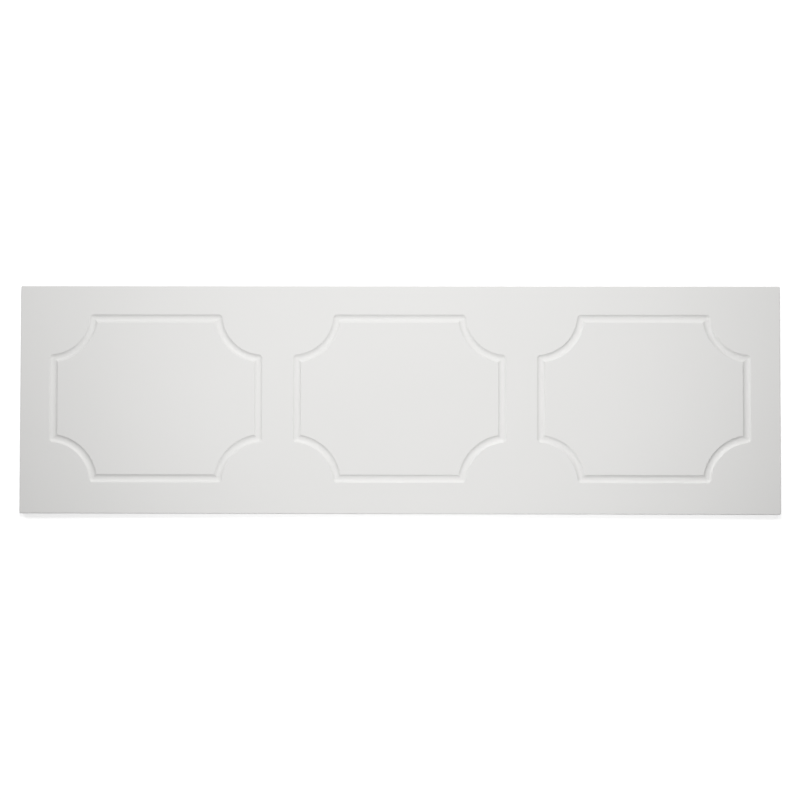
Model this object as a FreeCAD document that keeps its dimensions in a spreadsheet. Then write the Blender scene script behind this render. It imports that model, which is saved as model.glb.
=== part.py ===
"""Bath panel: one white foil-wrapped MDF sheet that closes the long side of a bath.

Its front face carries a row of routed plaques. Each plaque is one closed groove: a rectangle whose
four corners are scooped out by quarter circles. A shaped cutter of the groove's full width runs
along the groove's centre line, so the groove's outer edge is rounded at every corner of the line
and its inner edge is sharp there.

The panel lies on its back with its decorated face up. X runs along the panel's length, Y from its
bottom edge to its top edge as it stands in use, and Z through its thickness. The origin is at the
middle of the back face.
"""

import FreeCAD, Part
import math
import os

import Sketcher
from FreeCAD import Vector

# Driving dimensions in millimetres: name, value, meaning.
DIMENSIONS = [
    ("panel_length", 1700, "length of the sheet, along the bath"),
    ("panel_height", 510, "height of the sheet in use, floor to bath rim"),
    ("panel_thickness", 18, "thickness of the sheet"),
    ("corner_radius", 3, "rounding of the sheet's four corners, seen from the front"),
    ("front_edge_radius", 2, "rounding of the front edges under the foil"),
    ("plaque_count", 3, "plaques in the row"),
    ("side_margin", 65, "end of the sheet to the outer edge of the nearest groove"),
    ("plaque_gap", 67, "flat face between the outer edges of two grooves"),
    ("top_margin", 63, "top edge of the sheet to the outer edge of the groove"),
    ("bottom_margin", 69, "bottom edge of the sheet to the outer edge of the groove"),
    ("scoop_radius", 90, "outer edge of the groove at a scooped corner"),
    ("groove_width", 20, "width of the groove at the face"),
    ("groove_depth", 3, "depth of the groove's floor below the face"),
    ("cove_radius", 12, "hollow at the foot of the groove's walls"),
    ("rim_radius", 4, "rounding where the groove's walls meet the face"),
]

# Derived lengths, as expressions of the spreadsheet's cells.
PLAQUE_WIDTH = (
    "((dimensions.panel_length - 2 * dimensions.side_margin"
    " - (dimensions.plaque_count - 1) * dimensions.plaque_gap) / dimensions.plaque_count)"
)
PLAQUE_HEIGHT = "(dimensions.panel_height - dimensions.top_margin - dimensions.bottom_margin)"
PLAQUE_PITCH = f"({PLAQUE_WIDTH} + dimensions.plaque_gap)"
FIRST_PLAQUE_X = f"(dimensions.side_margin + {PLAQUE_WIDTH} / 2 - dimensions.panel_length / 2)"
PLAQUE_Y = "((dimensions.bottom_margin - dimensions.top_margin) / 2)"
HALF_GROOVE = "(dimensions.groove_width / 2)"
LINE_HALF_WIDTH = f"({PLAQUE_WIDTH} / 2 - {HALF_GROOVE})"
LINE_HALF_HEIGHT = f"({PLAQUE_HEIGHT} / 2 - {HALF_GROOVE})"
SCOOP_LINE_RADIUS = f"(dimensions.scoop_radius + {HALF_GROOVE})"

# A sketch numbers the points of each piece from one, and its own axes from minus one down.
START, END, CENTRE = range(1, 4)
X_AXIS, Y_AXIS = -1, -2
ORIGIN = (X_AXIS, START)


def make_dimensions(doc):
    """The spreadsheet of driving dimensions, one alias to a row."""
    sheet = doc.addObject("Spreadsheet::Sheet", "dimensions")
    for row, (name, value, meaning) in enumerate(DIMENSIONS, start=1):
        sheet.set(f"A{row}", name)
        sheet.set(f"B{row}", str(value))
        sheet.set(f"C{row}", meaning)
        sheet.setAlias(f"B{row}", name)
    doc.recompute()
    return sheet


def new_sketch(body, name, role, offsets):
    """An empty sketch on one of the body's origin planes, moved by expressions of the dimensions."""
    sketch = body.newObject("Sketcher::SketchObject", name)
    plane = next(item for item in body.Origin.OriginFeatures if item.Role == role)
    sketch.AttachmentSupport = [(plane, "")]
    sketch.MapMode = "FlatFace"
    for axis, expression in offsets.items():
        sketch.setExpression(f"AttachmentOffset.Base.{axis}", expression)
    return sketch


def drive(sketch, name, expression, *constraint):
    """Adds a named dimension to a sketch and binds it to an expression."""
    index = sketch.addConstraint(Sketcher.Constraint(*constraint))
    sketch.renameConstraint(index, name)
    sketch.setExpression(f"Constraints.{name}", expression)


def round_edges(doc, body, name, radius, chosen):
    """Rounds the chosen edges of the body's last feature to a named dimension."""
    base = body.Tip
    edges = [f"Edge{number}" for number, edge in enumerate(base.Shape.Edges, start=1) if chosen(edge)]
    rounding = body.newObject("PartDesign::Fillet", name)
    rounding.Base = (base, edges)
    rounding.setExpression("Radius", f"dimensions.{radius}")
    doc.recompute()


def make_sheet(doc, body, size):
    """The plain sheet with its corners and its front edges rounded."""
    outline = new_sketch(body, "sheet_outline", "XY_Plane", {})
    half_length, half_height = size("panel_length") / 2, size("panel_height") / 2
    corners = [
        Vector(-half_length, -half_height),
        Vector(half_length, -half_height),
        Vector(half_length, half_height),
        Vector(-half_length, half_height),
    ]
    for index, corner in enumerate(corners):
        outline.addGeometry(Part.LineSegment(corner, corners[(index + 1) % 4]))
    for index in range(4):
        direction = "Vertical" if index % 2 else "Horizontal"
        outline.addConstraint(Sketcher.Constraint("Coincident", index, END, (index + 1) % 4, START))
        outline.addConstraint(Sketcher.Constraint(direction, index))
    outline.addConstraint(Sketcher.Constraint("Symmetric", 0, START, 1, END, *ORIGIN))
    drive(outline, "length", "dimensions.panel_length", "DistanceX", 0, START, 0, END, 2 * half_length)
    drive(outline, "height", "dimensions.panel_height", "DistanceY", 1, START, 1, END, 2 * half_height)

    sheet = body.newObject("PartDesign::Pad", "sheet")
    sheet.Profile = outline
    sheet.setExpression("Length", "dimensions.panel_thickness")
    doc.recompute()

    def through(edge):
        return edge.BoundBox.ZLength > size("panel_thickness") / 2

    def on_front(edge):
        return edge.BoundBox.ZMin > size("panel_thickness") / 2

    round_edges(doc, body, "corners", "corner_radius", through)
    round_edges(doc, body, "front_edges", "front_edge_radius", on_front)


def make_groove_line(body, size):
    """Centre line of the first plaque's groove, seen from the front: four lines and four scoops.

    It starts at the middle of the top line and runs clockwise. Each scoop is centred on a corner
    of the rectangle that the groove's outer edge lies on.
    """
    line = new_sketch(
        body,
        "groove_line",
        "XY_Plane",
        {"x": FIRST_PLAQUE_X, "y": PLAQUE_Y, "z": "dimensions.panel_thickness"},
    )
    count = size("plaque_count")
    row = size("panel_length") - 2 * size("side_margin") - (count - 1) * size("plaque_gap")
    corner_x = row / count / 2
    corner_y = (size("panel_height") - size("top_margin") - size("bottom_margin")) / 2
    half_groove = size("groove_width") / 2
    radius = size("scoop_radius") + half_groove
    line_x, line_y = corner_x - half_groove, corner_y - half_groove
    lean = math.asin(half_groove / radius)
    reach = radius * math.cos(lean)

    def scoop(side_x, side_y, first_quarter):
        circle = Part.Circle(Vector(side_x * corner_x, side_y * corner_y), Vector(0, 0, 1), radius)
        first = first_quarter * math.pi / 2
        return Part.ArcOfCircle(circle, first + lean, first + math.pi / 2 - lean)

    short_x, short_y = corner_x - reach, corner_y - reach
    top_middle = Vector(0, line_y)
    pieces = [
        Part.LineSegment(top_middle, Vector(short_x, line_y)),
        scoop(1, 1, 2),
        Part.LineSegment(Vector(line_x, short_y), Vector(line_x, -short_y)),
        scoop(1, -1, 1),
        Part.LineSegment(Vector(short_x, -line_y), Vector(-short_x, -line_y)),
        scoop(-1, -1, 0),
        Part.LineSegment(Vector(-line_x, -short_y), Vector(-line_x, short_y)),
        scoop(-1, 1, 3),
        Part.LineSegment(Vector(-short_x, line_y), top_middle),
    ]
    for piece in pieces:
        line.addGeometry(piece)
    top_right, right, bottom, left, top_left = 0, 2, 4, 6, 8
    scoops = {1: (1, 1), 3: (1, -1), 5: (-1, -1), 7: (-1, 1)}

    # The line runs clockwise and a sketch keeps its arcs anticlockwise, so the two ends that meet
    # at each joint are found by their place.
    for index in range(len(pieces)):
        after = (index + 1) % len(pieces)
        meeting = min(
            ((here, there) for here in (START, END) for there in (START, END)),
            key=lambda ends: line.getPoint(index, ends[0]).distanceToPoint(line.getPoint(after, ends[1])),
        )
        line.addConstraint(Sketcher.Constraint("Coincident", index, meeting[0], after, meeting[1]))
    for index in (top_right, bottom, top_left):
        line.addConstraint(Sketcher.Constraint("Horizontal", index))
    for index in (right, left):
        line.addConstraint(Sketcher.Constraint("Vertical", index))
    line.addConstraint(Sketcher.Constraint("PointOnObject", top_right, START, Y_AXIS))

    drive(line, "top_y", LINE_HALF_HEIGHT, "DistanceY", *ORIGIN, top_right, START, line_y)
    drive(line, "bottom_y", LINE_HALF_HEIGHT, "DistanceY", bottom, START, *ORIGIN, line_y)
    drive(line, "right_x", LINE_HALF_WIDTH, "DistanceX", *ORIGIN, right, START, line_x)
    drive(line, "left_x", LINE_HALF_WIDTH, "DistanceX", left, START, *ORIGIN, line_x)
    for index, (side_x, side_y) in scoops.items():
        span_x = (*ORIGIN, index, CENTRE) if side_x > 0 else (index, CENTRE, *ORIGIN)
        span_y = (*ORIGIN, index, CENTRE) if side_y > 0 else (index, CENTRE, *ORIGIN)
        drive(line, f"scoop_{index}_x", f"{PLAQUE_WIDTH} / 2", "DistanceX", *span_x, corner_x)
        drive(line, f"scoop_{index}_y", f"{PLAQUE_HEIGHT} / 2", "DistanceY", *span_y, corner_y)
        drive(line, f"scoop_{index}_radius", SCOOP_LINE_RADIUS, "Radius", index, radius)
    return line


def make_groove_section(body, size):
    """Section of the cutter across the top line: floor, coved walls and rounded rims.

    The sketch's origin is on the face at the start of the groove's centre line, and the section is
    open upwards to one groove depth above the face.
    """
    section = new_sketch(
        body,
        "groove_section",
        "YZ_Plane",
        {
            "x": f"{PLAQUE_Y} + {LINE_HALF_HEIGHT}",
            "y": "dimensions.panel_thickness",
            "z": FIRST_PLAQUE_X,
        },
    )
    half, depth = size("groove_width") / 2, size("groove_depth")
    cove, rim = size("cove_radius"), size("rim_radius")
    slope = math.acos(1 - depth / (cove + rim))
    foot = half - (cove + rim) * math.sin(slope)
    quarter = math.pi / 2

    def arc(x, y, radius, first, last):
        return Part.ArcOfCircle(Part.Circle(Vector(x, y), Vector(0, 0, 1), radius), first, last)

    floor, right_cove, right_rim, right_side, top, left_side, left_rim, left_cove = range(8)
    section.addGeometry(
        [
            Part.LineSegment(Vector(-foot, -depth), Vector(foot, -depth)),
            arc(foot, cove - depth, cove, -quarter, slope - quarter),
            arc(half, -rim, rim, quarter, quarter + slope),
            Part.LineSegment(Vector(half, 0), Vector(half, depth)),
            Part.LineSegment(Vector(half, depth), Vector(-half, depth)),
            Part.LineSegment(Vector(-half, depth), Vector(-half, 0)),
            arc(-half, -rim, rim, quarter - slope, quarter),
            arc(-foot, cove - depth, cove, -quarter - slope, -quarter),
        ]
    )
    for constraint in (
        ("Tangent", floor, END, right_cove, START),
        ("Tangent", right_cove, END, right_rim, END),
        ("Perpendicular", right_rim, START, right_side, START),
        ("Coincident", right_side, END, top, START),
        ("Coincident", top, END, left_side, START),
        ("Perpendicular", left_side, END, left_rim, END),
        ("Tangent", left_rim, START, left_cove, START),
        ("Tangent", left_cove, END, floor, START),
        ("Symmetric", floor, START, floor, END, Y_AXIS),
        ("Vertical", right_side),
        ("Vertical", left_side),
        ("Horizontal", top),
        ("PointOnObject", right_side, START, X_AXIS),
        ("PointOnObject", left_side, END, X_AXIS),
        ("Equal", left_rim, right_rim),
        ("Equal", left_cove, right_cove),
    ):
        section.addConstraint(Sketcher.Constraint(*constraint))
    drive(section, "half_width", HALF_GROOVE, "DistanceX", *ORIGIN, right_side, START, half)
    drive(section, "depth", "dimensions.groove_depth", "DistanceY", floor, END, *ORIGIN, depth)
    drive(section, "opening", "dimensions.groove_depth", "DistanceY", *ORIGIN, top, START, depth)
    drive(section, "cove", "dimensions.cove_radius", "Radius", right_cove, cove)
    drive(section, "rim", "dimensions.rim_radius", "Radius", right_rim, rim)
    return section


def make_plaques(doc, body, size):
    """Routes the first plaque's groove and repeats it along the panel."""
    line = make_groove_line(body, size)
    section = make_groove_section(body, size)
    doc.recompute()

    groove = body.newObject("PartDesign::SubtractivePipe", "plaque_groove")
    groove.Profile = section
    groove.Spine = (line, [f"Edge{number}" for number in range(1, line.GeometryCount + 1)])
    groove.Transition = "Round corner"
    doc.recompute()

    row = body.newObject("PartDesign::LinearPattern", "plaque_row")
    row.Originals = [groove]
    row.Direction = (line, ["H_Axis"])
    row.setExpression("Length", f"{PLAQUE_PITCH} * (dimensions.plaque_count - 1)")
    row.setExpression("Occurrences", "dimensions.plaque_count")
    body.Tip = row
    doc.recompute()


def check(doc, parts):
    """Stops unless every object recomputed and every sub-part is one valid solid."""
    for item in doc.Objects:
        if {"Invalid", "Error"} & set(item.State):
            raise RuntimeError(f"{item.Label} did not recompute: {item.State}")
    for part in parts:
        shape = part.Shape
        if shape.isNull() or not shape.isValid() or len(shape.Solids) != 1:
            raise RuntimeError(f"{part.Label} is not one valid solid")


def main():
    doc = FreeCAD.newDocument("bath_panel")
    sheet = make_dimensions(doc)
    panel = doc.addObject("PartDesign::Body", "bath_panel")
    panel.Label = "bath_panel"
    panel.Placement = FreeCAD.Placement()
    make_sheet(doc, panel, sheet.get)
    make_plaques(doc, panel, sheet.get)
    check(doc, [panel])

    os.makedirs("parts", exist_ok=True)
    panel.Shape.exportStep(f"parts/{panel.Label}.step")
    print(f"{panel.Label}: {panel.Shape.Volume / 1e6:.3f} litres")


main()
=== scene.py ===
"""Looks of the bath panel: one white foil-wrapped sheet with three routed plaques, lying face up.

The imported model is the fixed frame. The panel's fine mesh is built over its solid, wrapped in
satin foil with a plain back, and set on a pale floor under soft studio light. Lengths are in
metres. X runs along the panel, Y towards its top edge, and Z out of its front face.
"""

import math

import bpy
from mathutils import Euler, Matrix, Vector, geometry


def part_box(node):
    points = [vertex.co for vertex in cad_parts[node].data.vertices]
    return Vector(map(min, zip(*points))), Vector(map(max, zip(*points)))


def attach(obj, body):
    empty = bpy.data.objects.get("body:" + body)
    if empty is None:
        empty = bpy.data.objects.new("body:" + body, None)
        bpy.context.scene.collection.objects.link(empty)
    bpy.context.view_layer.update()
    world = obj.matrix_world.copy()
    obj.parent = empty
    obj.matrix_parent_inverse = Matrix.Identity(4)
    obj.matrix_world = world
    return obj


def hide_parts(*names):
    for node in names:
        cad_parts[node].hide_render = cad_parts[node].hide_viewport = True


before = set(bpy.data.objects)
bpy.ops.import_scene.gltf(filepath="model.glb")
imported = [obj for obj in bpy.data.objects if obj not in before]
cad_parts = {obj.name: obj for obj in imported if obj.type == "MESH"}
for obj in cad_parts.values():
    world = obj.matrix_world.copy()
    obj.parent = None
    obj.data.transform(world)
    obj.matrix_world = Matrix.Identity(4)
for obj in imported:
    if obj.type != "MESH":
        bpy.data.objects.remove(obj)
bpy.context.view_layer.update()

NODE = "bath_panel"
LOW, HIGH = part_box(NODE)
FRONT = HIGH.z

# The sheet's edges.
CORNER_RADIUS = 0.003
FRONT_EDGE_RADIUS = 0.002

# The row of plaques.
PLAQUE_COUNT = 3
SIDE_MARGIN = 0.065
PLAQUE_GAP = 0.067
TOP_MARGIN = 0.063
BOTTOM_MARGIN = 0.069
SCOOP_RADIUS = 0.090

# The groove's section.
GROOVE_WIDTH = 0.020
GROOVE_DEPTH = 0.003
COVE_RADIUS = 0.012
RIM_RADIUS = 0.004

# Steps of the mesh along its curves, and how near two points are when they count as one.
CORNER_STEPS = 6
EDGE_STEPS = 6
RIM_STEPS = 6
COVE_STEPS = 10
TURN_STEPS = 10
SCOOP_STEPS = 36
SAME_PLACE = 1e-7

HALF_GROOVE = GROOVE_WIDTH / 2
ROW_WIDTH = HIGH.x - LOW.x - 2 * SIDE_MARGIN
PLAQUE_WIDTH = (ROW_WIDTH - (PLAQUE_COUNT - 1) * PLAQUE_GAP) / PLAQUE_COUNT
PLAQUE_TOP = HIGH.y - TOP_MARGIN
PLAQUE_BOTTOM = LOW.y + BOTTOM_MARGIN
PLAQUE_CORNER = Vector((PLAQUE_WIDTH / 2, (PLAQUE_TOP - PLAQUE_BOTTOM) / 2))
LINE_RADIUS = SCOOP_RADIUS + HALF_GROOVE
QUARTER = math.pi / 2

# Numbers of the panel's two materials on its mesh.
FOIL, BACK = range(2)

# Their looks: two whites as linear colours, two values of roughness and a fine relief in metres.
# Each of these varies with a noise of its own, given by its scale and detail.
FOIL_LOOK = {
    "whites": ((0.799, 0.795, 0.783), (0.814, 0.81, 0.798)),
    "white_noise": (6, 2),
    "roughness": (0.47, 0.53),
    "roughness_noise": (25, 3),
    "relief_strength": 0.08,
    "relief_height": 0.0004,
    "relief_noise": (450, 2),
}
BACK_LOOK = {
    "whites": ((0.74, 0.74, 0.72), (0.77, 0.77, 0.755)),
    "white_noise": (40, 4),
    "roughness": (0.5, 0.6),
    "roughness_noise": (90, 3),
    "relief_strength": 0.1,
    "relief_height": 0.0003,
    "relief_noise": (900, 3),
}

# The camera looks down at the panel from the photograph's place.
CAMERA_AIM = Vector((0.0011, -0.00035, FRONT))
CAMERA_DISTANCE = 3.0
CAMERA_TURN = Euler((0.02397, 0.00823, 0.00156), "ZXY")
CAMERA_LENS = 60.39

# The studio: the strength of the light from all round, and the name, place, size and power in
# watts of each soft light.
WHITE = (1, 1, 1, 1)
WORLD_LIGHT = 0.06
SOFTBOXES = [
    ("key", (0.0, 1.3, 2.2), 0.7, 25.1),
    ("top_left", (-2.4, 2.2, 2.85), 0.7, 44.4),
    ("top_right", (1.43, 1.93, 1.7), 0.7, 13.9),
    ("near_left", (-0.55, -0.05, 0.85), 0.4, 1.07),
    ("near_right", (0.7, -0.1, 1.0), 0.4, 1.7),
    ("near_bottom", (0.05, -0.85, 0.85), 0.4, 2.51),
]

# The floor shows the panel's shadow near it, and is plain white further off.
FLOOR_SIZE = 60
FLOOR_COLOUR = (0.8, 0.8, 0.8, 1)
FLOOR_GLOW = 0.6
SHADOW_REACH = 1.0
WHITE_REACH = 2.0


def steps(first, last, count):
    """Evenly spaced values from first to last, with both ends."""
    return [first + (last - first) * step / count for step in range(count + 1)]


def unit(angle):
    """The unit vector at an angle from X, in plan."""
    return Vector((math.cos(angle), math.sin(angle)))


def surface_point(place, z, outward, lean):
    """A (point, normal) pair: a place in plan at a height, its normal leaning outwards from up."""
    side = outward * math.sin(lean)
    return Vector((place.x, place.y, z)), Vector((side.x, side.y, math.cos(lean)))


def distinct(points):
    """The points of a closed ring without those that repeat the one before."""
    pairs = zip(points, [points[-1], *points])
    return [point for point, before in pairs if (point - before).length > SAME_PLACE]


class SurfaceMesh:
    """Faces with the true surface normal at every corner. Points that coincide share a vertex."""

    def __init__(self):
        self.points = []
        self.numbers = {}
        self.faces = []
        self.normals = []
        self.materials = []

    def number(self, point):
        """The number of the vertex at a point, which is made if there is none yet."""
        key = tuple(round(value / SAME_PLACE) for value in point)
        if key not in self.numbers:
            self.numbers[key] = len(self.points)
            self.points.append(tuple(point))
        return self.numbers[key]

    def face(self, corners, material=FOIL):
        """Adds a face of (point, normal) corners, without those that fall on their neighbour."""
        numbered = [(self.number(point), tuple(normal)) for point, normal in corners]
        kept = [corner for index, corner in enumerate(numbered) if corner[0] != numbered[index - 1][0]]
        if len(kept) > 2:
            self.faces.append([number for number, normal in kept])
            self.normals.extend(normal for number, normal in kept)
            self.materials.append(material)

    def strip(self, ring, next_ring):
        """Joins two closed rings with as many corners as each other."""
        for index in range(len(ring)):
            self.face([ring[index], ring[index - 1], next_ring[index - 1], next_ring[index]])

    def fill(self, rings, normal, material=FOIL):
        """Fills the flat area inside the first ring and outside the others."""
        points, loops = [], []
        for ring in rings:
            loop = distinct([point for point, ring_normal in ring])
            loops.append(list(range(len(points), len(points) + len(loop))))
            points.extend(loop)
        inside_with_holes, tolerance = 2, 1e-8
        plan = [point.xy for point in points]
        filled = geometry.delaunay_2d_cdt(plan, [], loops, inside_with_holes, tolerance)
        triangles, sources = filled[2], filled[3]
        for triangle in triangles:
            corners = [(points[sources[number][0]], normal) for number in triangle]
            self.face(corners if normal.z > 0 else corners[::-1], material)

    def make(self, name, materials):
        """The finished mesh as an object of the scene."""
        mesh = bpy.data.meshes.new(name)
        mesh.from_pydata(self.points, [], self.faces)
        for material in materials:
            mesh.materials.append(material)
        mesh.polygons.foreach_set("material_index", self.materials)
        mesh.polygons.foreach_set("use_smooth", [True] * len(self.faces))
        mesh.normals_split_custom_set(self.normals)
        piece = bpy.data.objects.new(name, mesh)
        bpy.context.scene.collection.objects.link(piece)
        return piece


def sheet_ring(inset, z, lean):
    """Ring round the sheet, anticlockwise, inset from its outline."""
    ring = []
    centres = [
        Vector((HIGH.x - CORNER_RADIUS, HIGH.y - CORNER_RADIUS)),
        Vector((LOW.x + CORNER_RADIUS, HIGH.y - CORNER_RADIUS)),
        Vector((LOW.x + CORNER_RADIUS, LOW.y + CORNER_RADIUS)),
        Vector((HIGH.x - CORNER_RADIUS, LOW.y + CORNER_RADIUS)),
    ]
    for index, centre in enumerate(centres):
        for angle in steps(index * QUARTER, (index + 1) * QUARTER, CORNER_STEPS):
            outward = unit(angle)
            ring.append(surface_point(centre + (CORNER_RADIUS - inset) * outward, z, outward, lean))
    return ring


def front_edge_rings():
    """Rings down the sheet's rounded front edge, from the face to the side."""
    return [
        sheet_ring(
            FRONT_EDGE_RADIUS * (1 - math.sin(lean)),
            FRONT - FRONT_EDGE_RADIUS * (1 - math.cos(lean)),
            lean,
        )
        for lean in steps(0, QUARTER, EDGE_STEPS)
    ]


def groove_section():
    """The groove's section from its outer edge to its inner edge: offset, height and lean.

    The offset is outwards from the groove's centre line, the height is from the face, and the lean
    is that of the surface's normal, outwards from up.
    """
    reach = COVE_RADIUS + RIM_RADIUS
    slope = math.acos(1 - GROOVE_DEPTH / reach)
    foot = HALF_GROOVE - reach * math.sin(slope)
    outer_wall = [
        (HALF_GROOVE - RIM_RADIUS * math.sin(lean), -RIM_RADIUS * (1 - math.cos(lean)), -lean)
        for lean in steps(0, slope, RIM_STEPS)
    ]
    outer_wall += [
        (foot + COVE_RADIUS * math.sin(lean), COVE_RADIUS * (1 - math.cos(lean)) - GROOVE_DEPTH, -lean)
        for lean in steps(slope, 0, COVE_STEPS)[1:]
    ]
    inner_wall = [(-offset, height, -lean) for offset, height, lean in reversed(outer_wall)]
    return [*outer_wall, (0, -GROOVE_DEPTH, 0), *inner_wall]


def corner_outline(offset):
    """A plaque's top right corner at an offset from the groove's centre line, clockwise.

    It gives (place, outward direction) pairs about the plaque's middle, from the top line through
    the scoop to the right line. Where the centre line turns, the outer side swings round the turn
    and the inner side comes to a point.
    """
    inwards = min(offset, 0)
    lean = math.asin((HALF_GROOVE - inwards) / (LINE_RADIUS - inwards))

    def scoop_place(angle, radius):
        """A place on a circle round the plaque's own square corner."""
        return PLAQUE_CORNER - radius * unit(angle)

    def turn(line_angle, scoop_angle):
        """The turn from a straight line to the scoop."""
        if offset <= 0:
            point = scoop_place(scoop_angle, LINE_RADIUS - offset)
            return [(point, unit(line_angle))] * TURN_STEPS + [(point, unit(scoop_angle))]
        pivot = scoop_place(scoop_angle, LINE_RADIUS)
        swing = steps(line_angle, scoop_angle, TURN_STEPS)
        return [(pivot + offset * unit(angle), unit(angle)) for angle in swing]

    scoop = [
        (scoop_place(angle, LINE_RADIUS - offset), unit(angle))
        for angle in steps(lean, QUARTER - lean, SCOOP_STEPS)[1:-1]
    ]
    return turn(QUARTER, lean) + scoop + turn(0, QUARTER - lean)[::-1]


def groove_ring(middle, offset, height, lean):
    """Ring along a plaque's groove, clockwise, at one point of the groove's section."""
    corner = corner_outline(offset)
    ring = []
    for side in (Vector((1, 1)), Vector((1, -1)), Vector((-1, -1)), Vector((-1, 1))):
        flipped = [
            surface_point(middle + side * place, FRONT + height, side * outward, lean)
            for place, outward in corner
        ]
        ring += flipped if side.x == side.y else flipped[::-1]
    return ring


def make_panel(foil, backing):
    """The sheet with its rounded front edges, its grooves and its flat back."""
    sheet = SurfaceMesh()
    up, down = Vector((0, 0, 1)), Vector((0, 0, -1))

    edge_rings = front_edge_rings()
    for ring, next_ring in zip(edge_rings, edge_rings[1:]):
        sheet.strip(ring, next_ring)
    back_ring = sheet_ring(0, LOW.z, QUARTER)
    sheet.strip(edge_rings[-1], back_ring)
    sheet.fill([back_ring], down, BACK)

    section = groove_section()
    groove_edges = []
    for index in range(PLAQUE_COUNT):
        x = LOW.x + SIDE_MARGIN + PLAQUE_WIDTH / 2 + index * (PLAQUE_WIDTH + PLAQUE_GAP)
        middle = Vector((x, (PLAQUE_TOP + PLAQUE_BOTTOM) / 2))
        rings = [groove_ring(middle, *point) for point in section]
        for ring, next_ring in zip(rings, rings[1:]):
            sheet.strip(ring, next_ring)
        sheet.fill([rings[-1]], up)
        groove_edges.append(rings[0])
    sheet.fill([edge_rings[0], *groove_edges], up)

    panel = sheet.make("panel", [foil, backing])
    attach(panel, "root")
    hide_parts(NODE)


def new_material(name):
    """A material with its node tree and its Principled shader."""
    material = bpy.data.materials.new(name)
    material.use_nodes = True
    return material, material.node_tree, material.node_tree.nodes["Principled BSDF"]


def noise(tree, scale, detail):
    """A noise texture in the object's own metres."""
    place = tree.nodes.new("ShaderNodeTexCoord")
    texture = tree.nodes.new("ShaderNodeTexNoise")
    texture.inputs["Scale"].default_value = scale
    texture.inputs["Detail"].default_value = detail
    tree.links.new(place.outputs["Object"], texture.inputs["Vector"])
    return texture.outputs["Fac"]


def vary(tree, factor, low, high, socket, start=0, end=1):
    """Drives a number socket between two values as a factor goes from start to end."""
    ramp = tree.nodes.new("ShaderNodeMapRange")
    ramp.inputs["From Min"].default_value = start
    ramp.inputs["From Max"].default_value = end
    ramp.inputs["To Min"].default_value = low
    ramp.inputs["To Max"].default_value = high
    tree.links.new(factor, ramp.inputs["Value"])
    tree.links.new(ramp.outputs["Result"], socket)


def tint(tree, factor, first, second, socket):
    """Drives a colour socket between two colours by a factor from 0 to 1."""
    ramp = tree.nodes.new("ShaderNodeValToRGB")
    ramp.color_ramp.elements[0].color = (*first, 1)
    ramp.color_ramp.elements[1].color = (*second, 1)
    tree.links.new(factor, ramp.inputs["Fac"])
    tree.links.new(ramp.outputs["Color"], socket)


def bump(tree, height, strength, distance, shader):
    """Adds fine relief to a shader from a height."""
    relief = tree.nodes.new("ShaderNodeBump")
    relief.inputs["Strength"].default_value = strength
    relief.inputs["Distance"].default_value = distance
    tree.links.new(height, relief.inputs["Height"])
    tree.links.new(relief.outputs["Normal"], shader.inputs["Normal"])


def coat_material(name, look):
    """A satin coat, with the faint changes of colour, roughness and relief that its look gives."""
    material, tree, shader = new_material(name)
    tint(tree, noise(tree, *look["white_noise"]), *look["whites"], shader.inputs["Base Color"])
    vary(tree, noise(tree, *look["roughness_noise"]), *look["roughness"], shader.inputs["Roughness"])
    grain = noise(tree, *look["relief_noise"])
    bump(tree, grain, look["relief_strength"], look["relief_height"], shader)
    return material


def seen_ray(tree):
    """1 on the rays that show a surface to the camera, straight or through gloss or glass, else 0."""
    path = tree.nodes.new("ShaderNodeLightPath")
    total = path.outputs["Is Camera Ray"]
    for name in ("Is Glossy Ray", "Is Transmission Ray"):
        either = tree.nodes.new("ShaderNodeMath")
        either.operation = "MAXIMUM"
        tree.links.new(total, either.inputs[0])
        tree.links.new(path.outputs[name], either.inputs[1])
        total = either.outputs["Value"]
    return total


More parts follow.
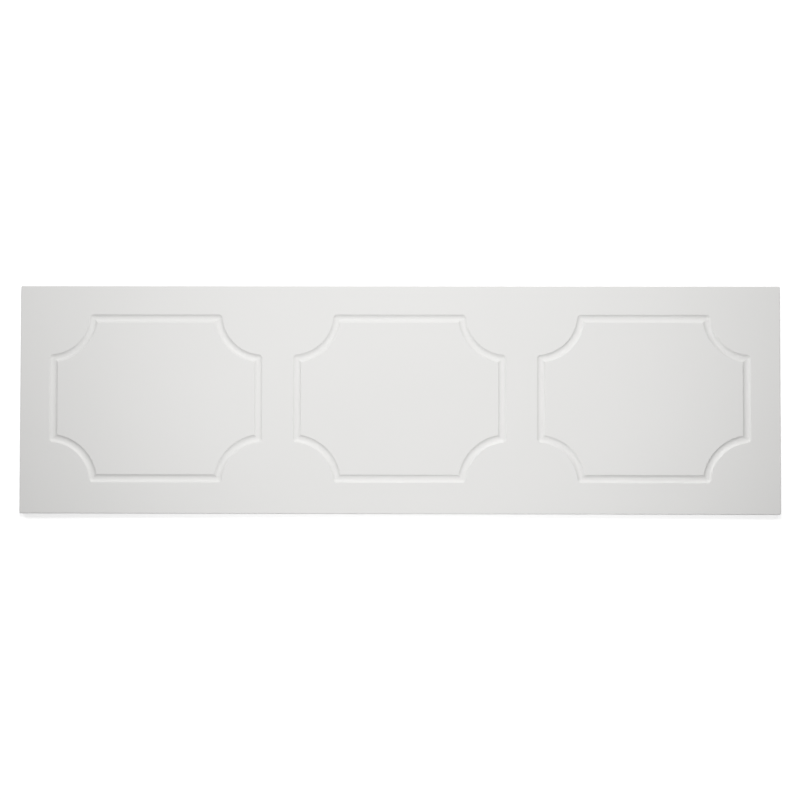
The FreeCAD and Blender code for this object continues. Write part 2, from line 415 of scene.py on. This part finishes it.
def floor_material():
    """Matt and pale, with a glow that only shows on the rays that reach the camera."""
    material, tree, shader = new_material("floor")
    shader.inputs["Base Color"].default_value = FLOOR_COLOUR
    shader.inputs["Roughness"].default_value = 1
    shader.inputs["Specular IOR Level"].default_value = 0
    shader.inputs["Emission Color"].default_value = WHITE
    place = tree.nodes.new("ShaderNodeTexCoord")
    distance = tree.nodes.new("ShaderNodeVectorMath")
    distance.operation = "LENGTH"
    tree.links.new(place.outputs["Object"], distance.inputs[0])
    glow = tree.nodes.new("ShaderNodeMath")
    glow.operation = "MULTIPLY"
    vary(tree, distance.outputs["Value"], FLOOR_GLOW, 1, glow.inputs[0], SHADOW_REACH, WHITE_REACH)
    tree.links.new(seen_ray(tree), glow.inputs[1])
    tree.links.new(glow.outputs["Value"], shader.inputs["Emission Strength"])
    return material


def make_floor():
    """A plain floor that shows as white and keeps the panel's shadow."""
    mesh = bpy.data.meshes.new("floor")
    half = FLOOR_SIZE / 2
    corners = [(-half, -half, LOW.z), (half, -half, LOW.z), (half, half, LOW.z), (-half, half, LOW.z)]
    mesh.from_pydata(corners, [], [(0, 1, 2, 3)])
    mesh.materials.append(floor_material())
    floor = bpy.data.objects.new("floor", mesh)
    bpy.context.scene.collection.objects.link(floor)


def make_world():
    """Even light from all round, which shows as white."""
    world = bpy.data.worlds.new("studio")
    world.use_nodes = True
    background = world.node_tree.nodes["Background"]
    background.inputs["Color"].default_value = WHITE
    vary(world.node_tree, seen_ray(world.node_tree), WORLD_LIGHT, 1, background.inputs["Strength"])
    bpy.context.scene.world = world


def make_softbox(name, place, size, power):
    """A square soft light at a place, turned to the middle of the panel."""
    light = bpy.data.lights.new(name, "AREA")
    light.shape = "SQUARE"
    light.size = size
    light.energy = power
    lamp = bpy.data.objects.new(name, light)
    lamp.location = place
    lamp.rotation_euler = Vector(place).to_track_quat("Z", "Y").to_euler()
    bpy.context.scene.collection.objects.link(lamp)


def make_camera():
    """The camera at the photograph's place."""
    camera = bpy.data.cameras.new("camera")
    camera.lens = CAMERA_LENS
    holder = bpy.data.objects.new("camera", camera)
    holder.rotation_mode = CAMERA_TURN.order
    holder.rotation_euler = CAMERA_TURN
    holder.location = CAMERA_AIM + CAMERA_DISTANCE * (CAMERA_TURN.to_matrix() @ Vector((0, 0, 1)))
    bpy.context.scene.collection.objects.link(holder)
    bpy.context.scene.camera = holder


make_panel(coat_material("white_foil", FOIL_LOOK), coat_material("white_backing", BACK_LOOK))
make_floor()
make_world()
for softbox in SOFTBOXES:
    make_softbox(*softbox)
make_camera()
bpy.context.scene.view_settings.view_transform = "Standard"
